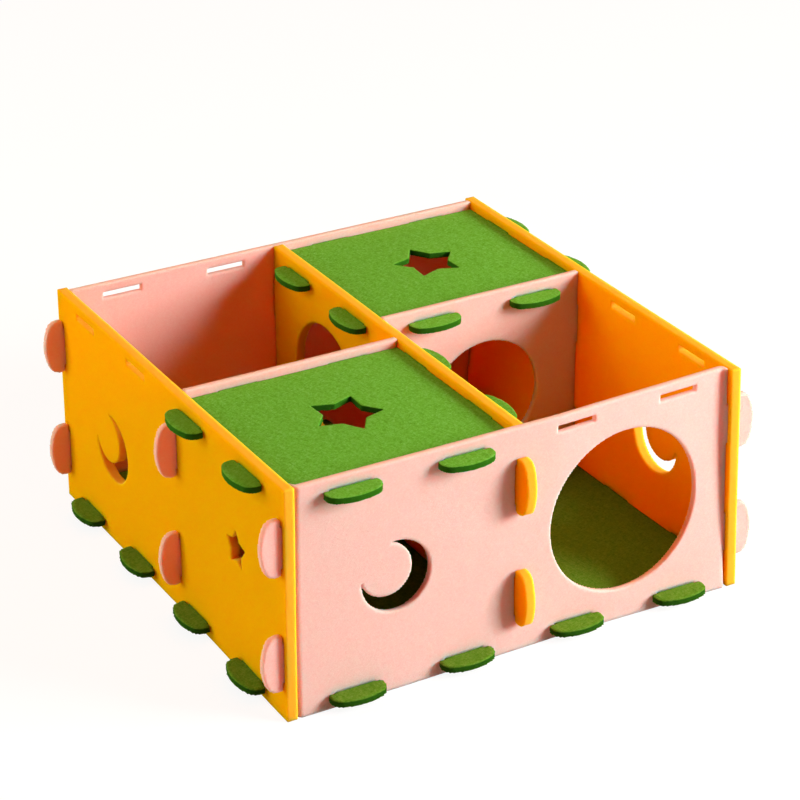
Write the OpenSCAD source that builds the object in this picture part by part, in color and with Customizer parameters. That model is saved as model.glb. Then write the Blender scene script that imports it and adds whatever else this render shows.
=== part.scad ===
// Felt hideout for a hamster: slotted felt panels that lock together without glue or thread.
// The origin is the middle of the footprint at the bottom of the walls.
// X runs to the right along the front wall, Y to the back and Z up, in millimetres.

/* [Box] */
// Width across the outside of the two side walls
box_w = 230; // [215:1:280]
// Depth, which is the whole length of a side wall
box_d = 230; // [218:1:280]
// Height of the outer walls
box_h = 110; // [100:1:140]
// How far the front and back walls stand in from the ends of the side walls
wall_inset = 2.5; // [1.5:0.5:6]
// Distance of each partition from the middle of the box, front to back
partition_shift = 11; // [7:0.5:15]
// Middle of the lids below the top of the walls
lid_drop = 6; // [4:0.5:9]
// Middle of the floor above the bottom of the walls
floor_rise = 6; // [4:0.5:9]

/* [Felt] */
// Thickness of the stiff felt that the side walls and the centre wall are cut from
wall_felt = 5; // [4:0.5:7]
// Thickness of the felt that the front and back walls and the partitions are cut from
cross_felt = 3; // [2:0.5:5]
// Thickness of the felt that the floor and the lids are cut from
sheet_felt = 3; // [2:0.5:4]

/* [Tabs and slots] */
// Distance between the two tabs of a pair
tab_pitch = 55; // [46:1:60]
// Width of the neck of a tab, where it passes through a slot
neck_w = 19; // [14:0.5:22]
// Width of the head of a tab, which locks it behind the wall
head_w = 26.5; // [25:0.5:34]
// How far the head of a tab stands out from the wall
head_out = 9.5; // [9:0.5:12]
// Length of the sides of a head next to the wall, before its outer corners begin
heel_l = 2.5; // [1.5:0.5:2.5]
// Radius of the corners of a head next to the wall
heel_r = 1.5; // [0.5:0.5:1.5]
// Radius of the outer corners of a head, which run into a flatter arc
head_r = 5.5; // [3:0.5:5.5]
// Gap between a panel and the faces that it seats against
fit_gap = 0.2; // [0.1:0.05:0.4]
// Spare length of a slot at each side of a neck
slot_play = 0.5; // [0.2:0.1:1]

/* [Doorways] */
// Diameter of the entrance in the front wall
entrance_d = 79; // [60:1:84]
// How far the entrance lies inwards from the middle of its half of the front wall
entrance_in = 0.8; // [0:0.1:4]
// How far the middle of the entrance lies below the middle of the wall
entrance_drop = 0.8; // [0:0.1:3]
// Diameter of the passages between the chambers
passage_d = 60; // [44:1:72]
// How far a passage lies outwards from the middle of its half of the wall
passage_out = 2; // [0:0.1:5]
// How far the middle of a partition's passage lies above the middle of the outer walls
partition_passage_rise = 0; // [0:0.5:4]
// How far the middle of the centre wall's passage lies above the middle of the outer walls
centre_passage_rise = 2; // [0:0.5:4]

/* [Moons and stars] */
// Diameter of a moon cut-out
moon_d = 34; // [28:1:42]
// Diameter of the tongue of felt that makes the moon a crescent
tongue_d = 25; // [18:1:26]
// How far the circle of the tongue runs past the rim of the moon
tongue_past = 1.8; // [1:0.1:3]
// Slope of the line from the middle of a moon to its tongue, upwards and outwards
tongue_slope = 40; // [0:1:80]
// How far the front wall's moon lies outwards from the middle of its half of the wall
front_moon_out = 5.8; // [0:0.1:8]
// How far a side wall's moon lies outwards from the middle of its half of the wall
side_moon_out = 2.4; // [0:0.1:5]
// How far a side wall's moon lies below the middle of the wall
side_moon_drop = 4.5; // [0:0.5:6]
// Radius of a lid's star at its points
star_r = 17; // [13:0.5:22]
// Radius of a lid's star at its notches
star_notch_r = 10; // [7:0.5:12]
// Radius of the small star in a side wall at its points
small_star_r = 9.5; // [7:0.5:12]
// Radius of the small star at its notches
small_star_notch_r = 5.5; // [4:0.5:6.5]
// How far the small star lies outwards from the middle of its half of the wall
small_star_out = 13.8; // [8:0.1:16]
// How far the small star lies above the middle of the wall
small_star_rise = 5.5; // [0:0.5:10]

/* [Hidden] */
$fn = 96;
yellow_felt = "#eba400";
pink_felt = "#fbd0c4";
green_felt = "#70ac32";
// Overlap of shapes that are cut as one piece
lap = 1;
star_points = 5;
// Planes of the panels
side_x = box_w / 2 - wall_felt / 2;
end_y = box_d / 2 - wall_inset - cross_felt / 2;
lid_z = box_h - lid_drop;
floor_z = floor_rise;
// Edges that seat against the walls, measured from the middle of the box
outer_x = side_x - wall_felt / 2 - fit_gap;
outer_y = end_y - cross_felt / 2 - fit_gap;
inner_x = wall_felt / 2 + fit_gap;
inner_y = partition_shift + cross_felt / 2 + fit_gap;
inner_z = floor_z + sheet_felt / 2 + fit_gap;
// Middles of the halves of a wall, where the pairs of tabs and the cut-outs are set out
half_x = (box_w - wall_felt) / 4;
half_y = (box_d - wall_felt) / 4;
mid_z = box_h / 2;
function pair(middle) = [for (side = [-1, 1]) middle + side * tab_pitch / 2];
row_x = concat(pair(-half_x), pair(half_x));
row_y = concat(pair(-half_y), pair(half_y));
rise_z = pair(mid_z);
// Slots
slot_l = neck_w + 2 * slot_play;
sheet_slot = sheet_felt + 2 * fit_gap;
// Middles of the outer corners of a head, and the flatter arc that joins the corners
corner_x = head_w / 2 - head_r;
crown_rise = head_out - heel_l - head_r;
crown_y = (corner_x ^ 2 - crown_rise ^ 2) / (2 * crown_rise);
crown_r = head_r + crown_rise + crown_y;
// Wedge that the arc lies in, from the middle of the arc through the middles of the corners
wedge_x = 2 * crown_r * corner_x / crown_y;
wedge_y = 2 * crown_r - crown_y;

// Outer part of a head, above the line y = 0: round corners that run into a flatter arc
module head_arch() {
    intersection() {
        translate([-head_w, 0]) square(2 * head_w);
        union() {
            for (side = [-1, 1]) translate([side * corner_x, 0]) circle(head_r);
            intersection() {
                translate([0, -crown_y]) circle(crown_r);
                polygon([[0, -crown_y], [wedge_x, wedge_y], [-wedge_x, wedge_y]]);
            }
        }
    }
}

// Head of a tab, flat against the wall on the line y = 0
module tab_head() {
    heel_x = head_w / 2 - heel_r;
    translate([0, heel_l]) head_arch();
    translate([-head_w / 2, heel_r]) square([head_w, heel_l - heel_r + lap]);
    translate([-heel_x, 0]) square([2 * heel_x, heel_l]);
    for (side = [-1, 1]) translate([side * heel_x, heel_r]) circle(heel_r);
}

// Tab on an edge that lies along y = 0, with its neck through a wall of that felt and its head behind the wall
module tab(felt) {
    neck_l = felt + 2 * fit_gap;
    translate([-neck_w / 2, -lap]) square([neck_w, neck_l + 2 * lap]);
    translate([0, neck_l]) tab_head();
}

// Pair of tabs on an upright edge at x, pointing to the side 1 or -1, through a wall of that felt
module end_tabs(x, side, felt) {
    for (z = rise_z) translate([x, z]) rotate(-90 * side) tab(felt);
}

// Slots for the end tabs of another wall, which is of that felt
module upright_slots(x, felt) {
    slot_w = felt + 2 * fit_gap;
    for (z = rise_z) translate([x, z]) square([slot_w, slot_l], center = true);
}

// Slots for the tabs of the floor or of a lid
module level_slots(row, z) {
    for (x = row) translate([x, z]) square([slot_l, sheet_slot], center = true);
}

// Crescent moon, with its tongue to the right and upwards
module moon() {
    tongue_shift = (moon_d - tongue_d) / 2 + tongue_past;
    difference() {
        circle(d = moon_d);
        rotate(tongue_slope) translate([tongue_shift, 0]) circle(d = tongue_d);
    }
}

// Star with one point upwards
module star(point_r, notch_r) {
    step = 180 / star_points;
    polygon([
        for (i = [0 : 2 * star_points - 1])
            let (r = i % 2 == 0 ? point_r : notch_r)
            r * [sin(i * step), cos(i * step)]
    ]);
}

// Round passage near the middle of one half of an inner wall
module passage(half, rise) {
    translate([half + passage_out, mid_z + rise]) circle(d = passage_d);
}

// Flat outlines of the panels. Walls are drawn along and up, the floor and lids from above.

module side_outline() {
    difference() {
        translate([-box_d / 2, 0]) square([box_d, box_h]);
        for (y = [-end_y, -partition_shift, end_y]) upright_slots(y, cross_felt);
        for (z = [floor_z, lid_z]) level_slots(row_y, z);
        translate([half_y + side_moon_out, mid_z - side_moon_drop]) moon();
        translate([-half_y - small_star_out, mid_z + small_star_rise])
            star(small_star_r, small_star_notch_r);
    }
}

module end_outline() {
    difference() {
        union() {
            translate([-outer_x, 0]) square([2 * outer_x, box_h]);
            for (side = [-1, 1]) end_tabs(side * outer_x, side, wall_felt);
        }
        upright_slots(0, wall_felt);
        for (z = [floor_z, lid_z]) level_slots(row_x, z);
    }
}

module centre_outline() {
    difference() {
        union() {
            translate([-outer_y, inner_z]) square([2 * outer_y, box_h - inner_z]);
            for (side = [-1, 1]) end_tabs(side * outer_y, side, cross_felt);
        }
        for (side = [-1, 1]) upright_slots(side * partition_shift, cross_felt);
        level_slots(row_y, lid_z);
        passage(half_y, centre_passage_rise);
    }
}

module partition_outline() {
    difference() {
        union() {
            translate([inner_x, inner_z]) square([outer_x - inner_x, box_h - inner_z]);
            end_tabs(inner_x, -1, wall_felt);
            end_tabs(outer_x, 1, wall_felt);
        }
        level_slots(pair(half_x), lid_z);
        passage(half_x, partition_passage_rise);
    }
}

module lid_outline() {
    difference() {
        union() {
            translate([inner_x, inner_y]) square([outer_x - inner_x, outer_y - inner_y]);
            for (x = pair(half_x)) {
                translate([x, inner_y]) rotate(180) tab(cross_felt);
                translate([x, outer_y]) tab(cross_felt);
            }
            for (y = pair(half_y)) {
                translate([inner_x, y]) rotate(90) tab(wall_felt);
                translate([outer_x, y]) rotate(-90) tab(wall_felt);
            }
        }
        translate([(inner_x + outer_x) / 2, (inner_y + outer_y) / 2]) star(star_r, star_notch_r);
    }
}

module floor_outline() {
    square([2 * outer_x, 2 * outer_y], center = true);
    for (side = [-1, 1]) {
        for (x = row_x) translate([x, side * outer_y]) rotate(90 - 90 * side) tab(cross_felt);
        for (y = row_y) translate([side * outer_x, y]) rotate(-90 * side) tab(wall_felt);
    }
}

// Panels of the three felts, stood up along Y or along X, or laid flat

module stand_along_y(x) {
    translate([x, 0, 0]) rotate([90, 0, 90]) linear_extrude(wall_felt, center = true) children();
}

module stand_along_x(y) {
    translate([0, y, 0]) rotate([90, 0, 0]) linear_extrude(cross_felt, center = true) children();
}

module lay(z) {
    translate([0, 0, z]) linear_extrude(sheet_felt, center = true) children();
}

// Turn of half a circle that makes a panel its own opposite number
module turned() {
    rotate([0, 0, 180]) children();
}

// The pieces

module floor_panel() {
    color(green_felt) lay(floor_z) floor_outline();
}

module left_wall() {
    color(yellow_felt) stand_along_y(-side_x) side_outline();
}

module right_wall() {
    color(yellow_felt) turned() stand_along_y(-side_x) side_outline();
}

module centre_wall() {
    color(yellow_felt) stand_along_y(0) centre_outline();
}

module front_wall() {
    color(pink_felt) stand_along_x(-end_y) difference() {
        end_outline();
        translate([half_x - entrance_in, mid_z - entrance_drop]) circle(d = entrance_d);
        translate([-half_x - front_moon_out, mid_z]) mirror([1, 0]) moon();
    }
}

module back_wall() {
    color(pink_felt) stand_along_x(end_y) end_outline();
}

module left_partition() {
    color(pink_felt) turned() stand_along_x(partition_shift) partition_outline();
}

module right_partition() {
    color(pink_felt) stand_along_x(partition_shift) partition_outline();
}

module front_left_lid() {
    color(green_felt) turned() lay(lid_z) lid_outline();
}

module back_right_lid() {
    color(green_felt) lay(lid_z) lid_outline();
}

floor_panel();
left_wall();
right_wall();
centre_wall();
front_wall();
back_wall();
left_partition();
right_partition();
front_left_lid();
back_right_lid();
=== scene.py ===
import math

import bmesh
import bpy
import numpy as np
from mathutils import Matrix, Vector


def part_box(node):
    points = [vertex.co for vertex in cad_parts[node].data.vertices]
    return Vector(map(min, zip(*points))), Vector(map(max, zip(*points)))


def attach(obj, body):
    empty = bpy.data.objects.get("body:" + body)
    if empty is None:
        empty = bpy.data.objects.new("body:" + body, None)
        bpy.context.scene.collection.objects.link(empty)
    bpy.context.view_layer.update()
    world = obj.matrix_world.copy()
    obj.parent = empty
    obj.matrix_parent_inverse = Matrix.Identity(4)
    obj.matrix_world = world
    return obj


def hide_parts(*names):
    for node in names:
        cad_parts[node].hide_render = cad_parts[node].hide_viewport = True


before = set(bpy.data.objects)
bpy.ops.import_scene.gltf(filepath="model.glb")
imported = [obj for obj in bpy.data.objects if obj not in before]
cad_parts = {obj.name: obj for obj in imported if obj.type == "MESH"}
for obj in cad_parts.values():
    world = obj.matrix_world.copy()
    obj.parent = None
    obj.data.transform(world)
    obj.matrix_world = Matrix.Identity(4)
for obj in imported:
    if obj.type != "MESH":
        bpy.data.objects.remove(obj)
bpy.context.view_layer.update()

# Floor panel
# One sheet of green 3 mm needled felt, which lies on nothing and hangs by its tabs.
# Each tab runs out through a slot low in an outer wall, and its wider head locks it there.

MM = 0.001
FELT_SEED = 4.0


def add_node(tree, kind, **settings):
    """Adds a node to a tree, with its own settings."""
    node = tree.nodes.new(kind)
    for setting, value in settings.items():
        setattr(node, setting, value)
    return node


def felt_surface_tree():
    """Softens a panel's cut edges, waves the panel a little and covers it with the lumps of felt."""
    tree = bpy.data.node_groups.new("felt_surface", "GeometryNodeTree")
    tree.interface.new_socket("Panel", in_out="INPUT", socket_type="NodeSocketGeometry")
    for name, kind in [
        ("Edge rounds", "NodeSocketInt"),
        ("Lump height", "NodeSocketFloat"),
        ("Lump size", "NodeSocketFloat"),
        ("Wave height", "NodeSocketFloat"),
        ("Wave size", "NodeSocketFloat"),
        ("Across", "NodeSocketVector"),
        ("Seed", "NodeSocketFloat"),
        ("Felt", "NodeSocketMaterial"),
    ]:
        tree.interface.new_socket(name, in_out="INPUT", socket_type=kind)
    tree.interface.new_socket("Felt panel", in_out="OUTPUT", socket_type="NodeSocketGeometry")
    join = tree.links.new
    given = add_node(tree, "NodeGroupInput")
    made = add_node(tree, "NodeGroupOutput")

    def maths(operation, first, second):
        node = add_node(tree, "ShaderNodeMath", operation=operation)
        for socket, value in zip(node.inputs, (first, second)):
            if isinstance(value, (int, float)):
                socket.default_value = value
            else:
                join(value, socket)
        return node.outputs[0]

    def vectors(operation, first, second):
        node = add_node(tree, "ShaderNodeVectorMath", operation=operation)
        for socket, value in zip(node.inputs, (first, second)):
            if isinstance(value, tuple):
                socket.default_value = value
            else:
                join(value, socket)
        return node.outputs[0]

    def scaled(vector, factor):
        node = add_node(tree, "ShaderNodeVectorMath", operation="SCALE")
        join(vector, node.inputs[0])
        join(factor, node.inputs["Scale"])
        return node.outputs[0]

    def noise(place, size, detail):
        """Noise from -1 to 1 whose lumps have that size."""
        node = add_node(tree, "ShaderNodeTexNoise", noise_dimensions="4D")
        join(place, node.inputs["Vector"])
        join(given.outputs["Seed"], node.inputs["W"])
        join(maths("DIVIDE", 1.0, size), node.inputs["Scale"])
        node.inputs["Detail"].default_value = detail
        return maths("MULTIPLY", maths("SUBTRACT", node.outputs[0], 0.5), 2.0)

    def blurred(value):
        """Mean of a vector over the points around, in as many rounds as the edges get."""
        node = add_node(tree, "GeometryNodeBlurAttribute", data_type="FLOAT_VECTOR")
        join(value, [s for s in node.inputs if s.enabled and s.name == "Value"][0])
        join(given.outputs["Edge rounds"], node.inputs["Iterations"])
        return [s for s in node.outputs if s.enabled][0]

    place = add_node(tree, "GeometryNodeInputPosition").outputs[0]
    normal = add_node(tree, "GeometryNodeInputNormal").outputs[0]
    rounded = blurred(place)
    regained = blurred(vectors("SUBTRACT", place, rounded))
    soften = add_node(tree, "GeometryNodeSetPosition")
    join(given.outputs["Panel"], soften.inputs["Geometry"])
    join(vectors("ADD", rounded, regained), soften.inputs["Position"])

    lumps = maths("MULTIPLY", noise(place, given.outputs["Lump size"], 3.0), given.outputs["Lump height"])
    in_plane = vectors("MULTIPLY", place, vectors("SUBTRACT", (1.0, 1.0, 1.0), given.outputs["Across"]))
    waves = maths("MULTIPLY", noise(in_plane, given.outputs["Wave size"], 1.0), given.outputs["Wave height"])
    moved = vectors("ADD", scaled(normal, lumps), scaled(given.outputs["Across"], waves))
    cover = add_node(tree, "GeometryNodeSetPosition")
    join(soften.outputs[0], cover.inputs["Geometry"])
    join(moved, cover.inputs["Offset"])

    whole = add_node(tree, "GeometryNodeRealizeInstances")
    dye = add_node(tree, "GeometryNodeSetMaterial")
    join(cover.outputs[0], whole.inputs[0])
    join(whole.outputs[0], dye.inputs["Geometry"])
    join(given.outputs["Felt"], dye.inputs["Material"])
    join(dye.outputs[0], made.inputs[0])
    return tree


felt_surface = felt_surface_tree()


def felt_material(name, colour, pale, deep, fibre, fibre_run, nap, glow, depths, cut=None, across="Z"):
    """Needled felt: short fibres at all angles, flecks among them, and a matt face that light shines into.

    Light goes in by the glow, times the depths for red, green and blue. The cut edges, which don't
    face across the panel, may be given a cut colour that is painted light, set by each caller: painted
    highlight where it is paler than the face, painted shade where it is darker.
    """
    material = bpy.data.materials.new(name)
    material.use_nodes = True
    tree = material.node_tree
    join = tree.links.new
    shader = tree.nodes["Principled BSDF"]
    place = add_node(tree, "ShaderNodeTexCoord").outputs["Object"]

    def fibres(turn, size, length):
        """Streaks of that size and length, lying along one turned axis."""
        lay = add_node(tree, "ShaderNodeMapping", vector_type="TEXTURE")
        lay.inputs["Rotation"].default_value = turn
        lay.inputs["Scale"].default_value = (size, size, length)
        join(place, lay.inputs["Vector"])
        streaks = add_node(tree, "ShaderNodeTexNoise")
        join(lay.outputs[0], streaks.inputs["Vector"])
        streaks.inputs["Scale"].default_value = 1.0
        streaks.inputs["Detail"].default_value = 3.0
        streaks.inputs["Roughness"].default_value = 0.6
        streaks.inputs["Distortion"].default_value = 0.8
        return streaks.outputs[0]

    def sum_of(first, second):
        node = add_node(tree, "ShaderNodeMath", operation="ADD")
        join(first, node.inputs[0])
        join(second, node.inputs[1])
        return node.outputs[0]

    turns = [(0.3, 0.9, 0.4), (1.1, 0.5, 2.0), (0.7, 2.2, 1.2), (1.6, 1.5, 0.2)]
    layers = [fibres(turn, fibre, fibre_run) for turn in turns]
    mat = sum_of(sum_of(layers[0], layers[1]), sum_of(layers[2], layers[3]))
    spread = add_node(tree, "ShaderNodeMapRange")
    spread.inputs["From Min"].default_value = 1.5
    spread.inputs["From Max"].default_value = 2.5
    join(mat, spread.inputs["Value"])
    dye = add_node(tree, "ShaderNodeValToRGB")
    dye.color_ramp.elements[0].color = (*deep, 1)
    dye.color_ramp.elements[1].color = (*pale, 1)
    dye.color_ramp.elements.new(0.5).color = (*colour, 1)
    join(spread.outputs[0], dye.inputs[0])
    face = dye.outputs[0]
    # Painted light: the cut colour goes on the edges that don't face across the panel, as painted highlight
    # on the yellow felt and painted shade on the green felt.
    if cut:
        facing = add_node(tree, "ShaderNodeSeparateXYZ")
        join(add_node(tree, "ShaderNodeTexCoord").outputs["Normal"], facing.inputs[0])
        steep = add_node(tree, "ShaderNodeMath", operation="ABSOLUTE")
        join(facing.outputs[across], steep.inputs[0])
        edge = add_node(tree, "ShaderNodeMapRange")
        edge.inputs["From Min"].default_value = 0.35
        edge.inputs["From Max"].default_value = 0.75
        join(steep.outputs[0], edge.inputs["Value"])
        mix = add_node(tree, "ShaderNodeMix", data_type="RGBA")
        sides = [socket for socket in mix.inputs if socket.type == "RGBA"]
        join(edge.outputs[0], mix.inputs["Factor"])
        sides[0].default_value = (*cut, 1)
        join(face, sides[1])
        face = [socket for socket in mix.outputs if socket.type == "RGBA"][0]
    join(face, shader.inputs["Base Color"])

    bump = add_node(tree, "ShaderNodeBump")
    bump.inputs["Strength"].default_value = 0.5
    bump.inputs["Distance"].default_value = nap
    join(mat, bump.inputs["Height"])
    join(bump.outputs[0], shader.inputs["Normal"])
    shader.inputs["Roughness"].default_value = 0.95
    shader.inputs["Specular IOR Level"].default_value = 0.02
    shader.inputs["Subsurface Weight"].default_value = 1.0
    shader.inputs["Subsurface Radius"].default_value = depths
    shader.inputs["Subsurface Scale"].default_value = glow
    return material


same_place = 0.001 * MM


def merged_copy(node):
    """Copy of a node's mesh with its loose triangles joined."""
    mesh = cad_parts[node].data.copy()
    work = bmesh.new()
    work.from_mesh(mesh)
    bmesh.ops.remove_doubles(work, verts=work.verts, dist=same_place)
    work.to_mesh(mesh)
    work.free()
    return mesh


def smooth_step(value, start, end):
    """0 before the start, 1 past the end, and an even curve between them."""
    share = np.clip((value - start) / (end - start), 0, 1)
    return share * share * (3 - 2 * share)


wall_low, wall_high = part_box("front_wall")
side_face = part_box("right_wall")[0].x
top_places = np.array((-110, 20, 110)) * MM
top_forward = np.array((2.4, 2.2, -1.9)) * MM
foot_places = np.array((-60, 20, 110)) * MM
foot_forward = np.array((5.4, 3.9, 5.6)) * MM
forward_reach = 30 * MM
end_bend = 2 * MM
side_slip = 3.0 * MM
side_splay = 1.8 * MM
splay_depth = 80 * MM
splay_width = 15 * MM


def stand_forward(points):
    """The front wall has slipped forward, most at its foot, and its upper right corner back.

    What is slotted into it goes along, and the side walls' lower front corners go forward less.
    """
    top = np.interp(points[:, 0], top_places, top_forward)
    foot = np.interp(points[:, 0], foot_places, foot_forward)
    low_down = np.clip(1 - points[:, 2] / wall_high.z, 0, 1)
    between = smooth_step(side_face - np.abs(points[:, 0]), 0, end_bend)
    near_front = smooth_step(points[:, 1], wall_high.y + forward_reach, wall_high.y)
    side = side_slip * low_down
    points[:, 1] -= (side + (top + (foot - top) * low_down ** 2 - side) * between) * near_front


def splay_out(points):
    """The side walls' lower front corners stand out a little, and what is slotted there goes along."""
    near_side = smooth_step(np.abs(points[:, 0]), side_face - splay_width, side_face)
    near_front = smooth_step(points[:, 1], wall_high.y + splay_depth, wall_low.y)
    low_down = np.clip(1 - points[:, 2] / wall_high.z, 0, 1)
    points[:, 0] += np.sign(points[:, 0]) * side_splay * near_side * near_front * low_down


def reshape(mesh, *moves):
    """Moves a mesh's points, all at once, by each of the given functions."""
    points = np.empty(len(mesh.vertices) * 3, np.float32)
    mesh.vertices.foreach_get("co", points)
    points = points.reshape(-1, 3)
    for move in moves:
        move(points)
    mesh.vertices.foreach_set("co", points.ravel())
    mesh.update()


edge_rounds = 1
wave_height = 0.4 * MM
wave_size = 70 * MM
largest_grid_share = 0.99


def felt_panel(node, material, grid, across, lump_height, lump_size, settle):
    """Makes the felt panel that stands for a CAD node, from a fine grid that keeps its cut edges."""
    panel = bpy.data.objects.new(f"{node}_felt", merged_copy(node))
    bpy.context.scene.collection.objects.link(panel)
    low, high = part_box(node)
    cells = max(high - low) / grid
    fine = panel.modifiers.new("grid", "REMESH")
    fine.mode = "SHARP"
    fine.octree_depth = math.ceil(math.log2(cells))
    fine.scale = min(cells / 2 ** fine.octree_depth, largest_grid_share)
    fine.use_remove_disconnected = False
    felt = panel.modifiers.new("felt", "NODES")
    felt.node_group = felt_surface
    values = {
        "Edge rounds": edge_rounds,
        "Lump height": lump_height,
        "Lump size": lump_size,
        "Wave height": wave_height,
        "Wave size": wave_size,
        "Across": across,
        "Seed": FELT_SEED,
        "Felt": material,
    }
    for socket in felt_surface.interface.items_tree:
        if socket.in_out == "INPUT" and socket.name in values:
            felt[socket.identifier] = values[socket.name]
    shown = panel.evaluated_get(bpy.context.evaluated_depsgraph_get())
    mesh = bpy.data.meshes.new_from_object(shown)
    panel.modifiers.clear()
    panel.data = mesh
    mesh.name = panel.name
    reshape(mesh, settle, stand_forward, splay_out)
    mesh.shade_smooth()
    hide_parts(node)
    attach(panel, "root")
    return panel


# The cut colour here is painted shade: the green's cut edges are painted dark, as if in shade.
deep_green = felt_material(
    "deep_green_felt", colour=(0.097, 0.232, 0.016), pale=(0.157, 0.294, 0.041), deep=(0.050, 0.165, 0.005),
    fibre=0.9 * MM, fibre_run=4.0 * MM, nap=0.25 * MM, glow=0.3 * MM, depths=(1, 1, 1),
    cut=(0.018, 0.085, 0.004))
along_x, along_y, along_z = (1.0, 0.0, 0.0), (0.0, 1.0, 0.0), (0.0, 0.0, 1.0)
tab_length = np.array((14.9, 12.9)) * MM
neck_length = np.array((5.4, 3.4)) * MM
edge_lift = {"floor_panel": 0.0, "front_left_lid": 0.6 * MM, "back_right_lid": 0.6 * MM}
tab_drop = {"floor_panel": 0.5 * MM, "front_left_lid": 1.0 * MM, "back_right_lid": 1.0 * MM}


def tab_fall(node, points):
    """How far a level panel rises at each point: it is lifted inside its walls, and its tabs hang."""
    low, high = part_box(node)
    middle = np.array(((low + high) / 2).xy)
    half = np.array(((high - low) / 2).xy)
    out = np.abs(points[:, :2] - middle) - half + tab_length
    hang = smooth_step(out, 0, neck_length).max(axis=1)
    return edge_lift[node] * (1 - hang) - tab_drop[node] * hang


def level_panel(node, felt, grid, dome):
    """Makes a level panel, which stands up in the middle by a dome."""
    low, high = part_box(node)
    middle = (low + high) / 2
    edge = (high - low) / 2 - Vector((*tab_length, 0))

    def settle(points):
        inside = 1.0
        for axis in (0, 1):
            inside = inside * (1 - np.clip(np.abs(points[:, axis] - middle[axis]) / edge[axis], 0, 1) ** 2)
        points[:, 2] += dome * inside + tab_fall(node, points)

    felt_panel(
        node, felt, grid, along_z, lump_height=0.25 * MM, lump_size=1.8 * MM, settle=settle)


level_panel("floor_panel", deep_green, grid=1.2 * MM, dome=0.0)

# Side walls and centre wall
# Three panels of yellow 5 mm stiff felt, die-cut with slots for everything that locks into them.
# The side walls stand on their bottom edges, and the centre wall hangs between the front and back walls.

# The cut colour here is painted highlight: the yellow's top edges, ends and slot faces are painted paler, as
# if brightly lit.
yellow = felt_material(
    "yellow_felt", colour=(0.985, 0.380, 0.000), pale=(0.995, 0.430, 0.001), deep=(0.970, 0.335, 0.000),
    fibre=0.6 * MM, fibre_run=1.8 * MM, nap=0.12 * MM, glow=9 * MM, depths=(1, 0.5, 0.2),
    cut=(0.985, 0.405, 0.026), across="X")
wall_grid = 0.95 * MM
wall_lump_height = 0.08 * MM
wall_lump_size = 2.5 * MM
tab_pitch = 55 * MM
slot_half = 10.5 * MM
slot_end_ease = 3 * MM
slot_near = 2 * MM
slot_far = 5 * MM
neck_squeeze = 0.15 * MM
chamber_middle = (side_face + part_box("right_wall")[1].x) / 4


def close_slots(axis):
    """Closes the level slots along an axis on the necks that slope through them."""
    def settle(points):
        places = points.copy()
        from_tab = np.abs(np.abs(np.abs(places[:, axis]) - chamber_middle) - tab_pitch / 2)
        beside = 1 - smooth_step(from_tab, slot_half, slot_half + slot_end_ease)
        for nodes in (["floor_panel"], ["front_left_lid", "back_right_lid"]):
            fall = np.zeros(len(points))
            squeeze = np.zeros(len(points))
            for node in nodes:
                low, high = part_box(node)
                held = np.all((places[:, :2] > low.xy) & (places[:, :2] < high.xy), axis=1)
                fall[held] = tab_fall(node, places)[held]
                squeeze[held] = neck_squeeze
            above = places[:, 2] - (low.z + high.z) / 2
            near = beside * (1 - smooth_step(np.abs(above), slot_near, slot_far))
            points[:, 2] += near * (fall - np.sign(above) * squeeze)

    return settle


for wall in ("left_wall", "right_wall", "centre_wall"):
    felt_panel(
        wall, yellow, wall_grid, along_x, wall_lump_height, wall_lump_size, close_slots(1))

# Front and back walls and partitions
# Four panels of pink 3 mm stiff felt. The tabs on their ends run through the yellow walls and lock outside.
# The front wall has the round entrance, and each partition a round passage.

pink = felt_material(
    "pink_felt", colour=(0.985, 0.485, 0.432), pale=(0.995, 0.545, 0.492), deep=(0.970, 0.425, 0.372),
    fibre=0.6 * MM, fibre_run=1.8 * MM, nap=0.12 * MM, glow=9 * MM, depths=(1, 0.25, 0.2))
for wall in ("front_wall", "back_wall", "left_partition", "right_partition"):
    felt_panel(
        wall, pink, wall_grid, along_y, wall_lump_height, wall_lump_size, close_slots(0))

# Lids
# Two panels of green 3 mm felt with a star cut out. They are a close fit, so they dome a little,
# and their tabs droop a little outside the walls that they run through.

# The cut colour here is painted shade: the lids' cut edges and tab rims are painted dark, as if in shade.
green = felt_material(
    "green_felt", colour=(0.114, 0.365, 0.030), pale=(0.168, 0.457, 0.077), deep=(0.072, 0.259, 0.010),
    fibre=0.9 * MM, fibre_run=4.0 * MM, nap=0.25 * MM, glow=0.3 * MM, depths=(1, 1, 1),
    cut=(0.022, 0.120, 0.005))
for lid in ("front_left_lid", "back_right_lid"):
    level_panel(lid, green, grid=0.6 * MM, dome=1.3 * MM)

# Studio
# A white floor that runs out of sight, a soft lamp low on the right of the front, a wide one on the left that
# also reaches the back, a weak warm one overhead, and a long lens from the left of the front.

floor_mesh = bpy.data.meshes.new("studio_floor")
reach = 3.0
corners = [(-reach, -reach, 0), (reach, -reach, 0), (reach, reach, 0), (-reach, reach, 0)]
floor_mesh.from_pydata(corners, [], [(0, 1, 2, 3)])
floor = bpy.data.objects.new("studio_floor", floor_mesh)
bpy.context.scene.collection.objects.link(floor)


def seen_directly(tree):
    """1 where the camera, a reflection or a clear pane looks, and 0 for light on its way to the object."""
    path = add_node(tree, "ShaderNodeLightPath")
    seen = path.outputs["Is Camera Ray"]
    for ray in ("Is Glossy Ray", "Is Transmission Ray"):
        both = add_node(tree, "ShaderNodeMath", operation="MAXIMUM")
        tree.links.new(seen, both.inputs[0])
        tree.links.new(path.outputs[ray], both.inputs[1])
        seen = both.outputs[0]
    return seen


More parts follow.
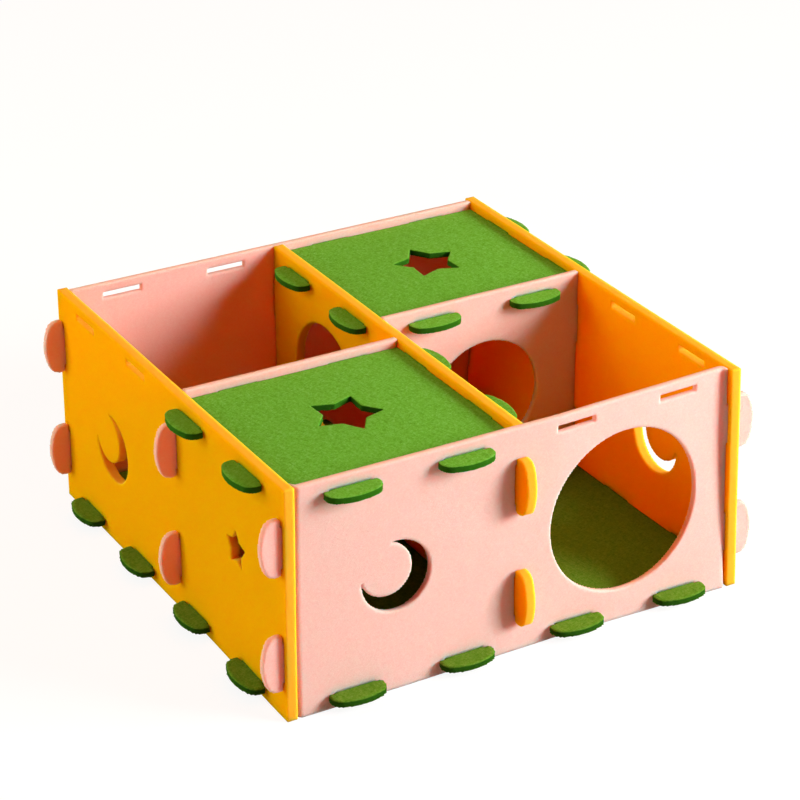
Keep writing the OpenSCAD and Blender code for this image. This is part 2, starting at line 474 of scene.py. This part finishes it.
def floor_paper():
    """White paper, which looks white to the camera and keeps a faint shadow."""
    material = bpy.data.materials.new("white_paper")
    material.use_nodes = True
    tree = material.node_tree
    tree.nodes.clear()
    lit = add_node(tree, "ShaderNodeBsdfDiffuse")
    lit.inputs["Color"].default_value = (0.5, 0.5, 0.5, 1)
    shaded = add_node(tree, "ShaderNodeBsdfDiffuse")
    shaded.inputs["Color"].default_value = (0.15, 0.15, 0.15, 1)
    white = add_node(tree, "ShaderNodeEmission")
    white.inputs["Strength"].default_value = 0.89
    look = add_node(tree, "ShaderNodeAddShader")
    tree.links.new(shaded.outputs[0], look.inputs[0])
    tree.links.new(white.outputs[0], look.inputs[1])
    mix = add_node(tree, "ShaderNodeMixShader")
    tree.links.new(seen_directly(tree), mix.inputs[0])
    tree.links.new(lit.outputs[0], mix.inputs[1])
    tree.links.new(look.outputs[0], mix.inputs[2])
    out = add_node(tree, "ShaderNodeOutputMaterial")
    tree.links.new(mix.outputs[0], out.inputs["Surface"])
    return material


floor_mesh.materials.append(floor_paper())


def studio_world():
    """White to the camera, and a dim warm light to the object."""
    world = bpy.data.worlds.new("studio")
    world.use_nodes = True
    tree = world.node_tree
    tree.nodes.clear()
    light = add_node(tree, "ShaderNodeBackground")
    light.inputs["Color"].default_value = (1, 0.28, 0.03, 1)
    light.inputs["Strength"].default_value = 0.14
    white = add_node(tree, "ShaderNodeBackground")
    white.inputs["Color"].default_value = (1, 1, 1, 1)
    white.inputs["Strength"].default_value = 1.0
    mix = add_node(tree, "ShaderNodeMixShader")
    tree.links.new(seen_directly(tree), mix.inputs[0])
    tree.links.new(light.outputs[0], mix.inputs[1])
    tree.links.new(white.outputs[0], mix.inputs[2])
    out = add_node(tree, "ShaderNodeOutputWorld")
    tree.links.new(mix.outputs[0], out.inputs["Surface"])
    return world


bpy.context.scene.world = studio_world()


def soft_lamp(name, towards, distance, size, strength, colour):
    """Square soft lamp that faces the middle of the object from a direction.

    A strength of 1 lights a facing surface fully.
    """
    lamp = bpy.data.lights.new(name, "AREA")
    lamp.shape = "SQUARE"
    lamp.size = size
    lamp.color = colour
    lamp.energy = strength * (math.pi * distance) ** 2
    stand = bpy.data.objects.new(name, lamp)
    bpy.context.scene.collection.objects.link(stand)
    direction = Vector(towards).normalized()
    stand.location = Vector((0, 0, wall_high.z / 2)) + direction * distance
    stand.rotation_euler = direction.to_track_quat("Z", "Y").to_euler()


soft_lamp("key_lamp", (0.669, -0.646, 0.367), distance=1.6, size=0.72, strength=1.68, colour=(1, 1, 1))
soft_lamp("left_lamp", (-1.0, 0.4, 0.34), distance=1.6, size=1.2, strength=0.77, colour=(1, 0.98, 0.78))
soft_lamp("top_lamp", (0.1, 0.1, 1.0), distance=1.6, size=1.2, strength=0.36, colour=(1, 0.52, 0.14))

view_azimuth = math.radians(-29.83)
view_elevation = math.radians(26.71)
view_distance = 1337.4 * MM
view_target = Vector((22.13, 28.21, 55.0)) * MM
view_back = Vector((
    math.sin(view_azimuth) * math.cos(view_elevation),
    -math.cos(view_azimuth) * math.cos(view_elevation),
    math.sin(view_elevation),
))
lens = bpy.data.cameras.new("long_lens")
lens.lens = 125.65
lens.sensor_width = 36.0
camera = bpy.data.objects.new("camera", lens)
bpy.context.scene.collection.objects.link(camera)
camera.location = view_target + view_back * view_distance
camera.rotation_euler = view_back.to_track_quat("Z", "Y").to_euler()
bpy.context.scene.camera = camera
bpy.context.scene.view_settings.view_transform = "Standard"
